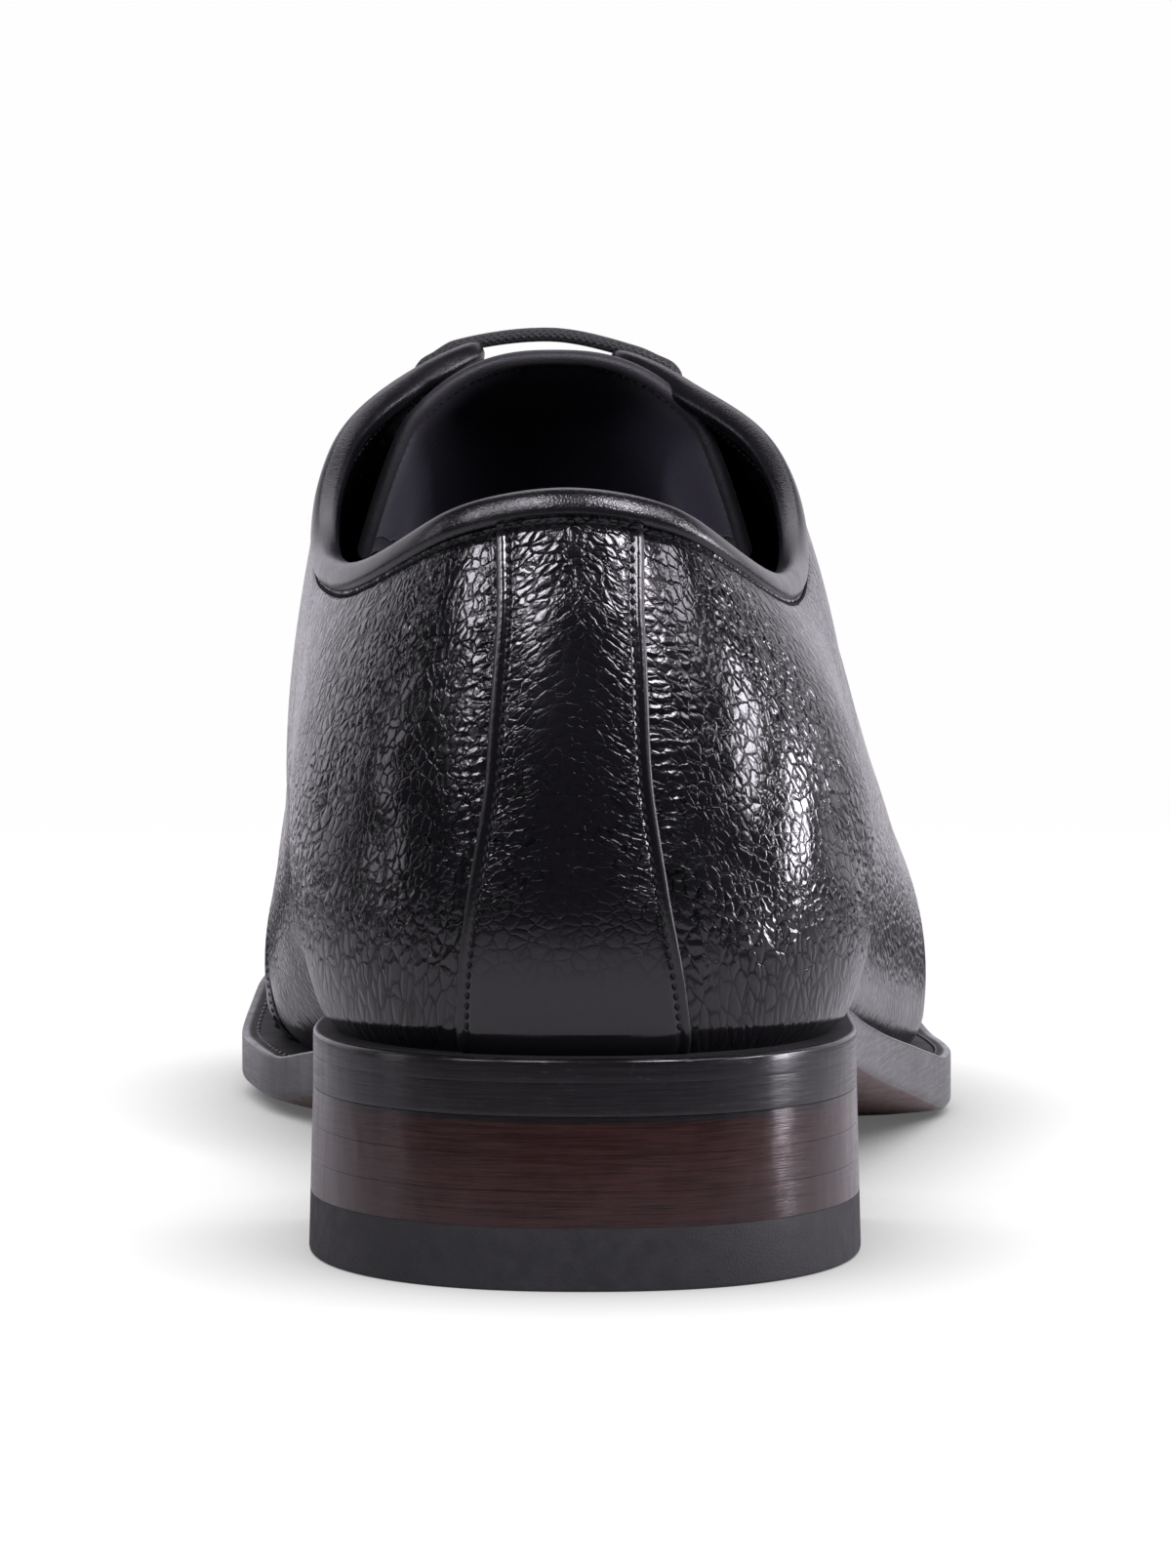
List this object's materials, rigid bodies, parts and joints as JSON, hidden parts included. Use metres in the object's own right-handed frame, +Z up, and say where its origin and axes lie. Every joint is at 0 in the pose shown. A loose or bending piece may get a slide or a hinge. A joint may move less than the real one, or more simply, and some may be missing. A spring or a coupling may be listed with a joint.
{
  "type": "plain-toe oxford shoe",
  "caption": "Right-foot plain-toe lace-up dress shoe in grained leather, with a back strip, bound collar, tongue, welted sole and stacked heel.",
  "frame": {"origin": "middle of the shoe's length and width, on the floor it stands on", "axes": "+Y to the toe, +X to the outer (lateral) side of the right foot, +Z up"},
  "size_m": [0.1068, 0.304, 0.1119],
  "materials": {
    "grain_leather": "glossy pebbled grain",
    "smooth_leather": "smooth, semi-gloss",
    "tongue_leather": "soft matte",
    "lace_cord": "waxed cotton",
    "edge_dressing": "black edge dressing, semi-gloss",
    "sole_leather": "brown tread with a dressed edge",
    "lift_leather": "stacked, burnished",
    "heel_rubber": "matte",
    "sock_leather": "soft matte"
  },
  "bodies": {
    "root": {"outsole": "sole_leather", "welt": "edge_dressing", "insole": "sock_leather", "heel_top_piece": "heel_rubber", "heel_lift_1": "lift_leather", "heel_lift_2": "lift_leather", "heel_lift_3": "lift_leather", "upper": "grain_leather", "back_strip": "grain_leather", "vamp": "grain_leather", "collar_binding": "smooth_leather", "tongue": "tongue_leather", "lace_bar_1": "lace_cord", "lace_bar_2": "lace_cord", "lace_bar_3": "lace_cord", "lace_bar_4": "lace_cord", "lace_bar_5": "lace_cord"}
  },
  "joints": []
}
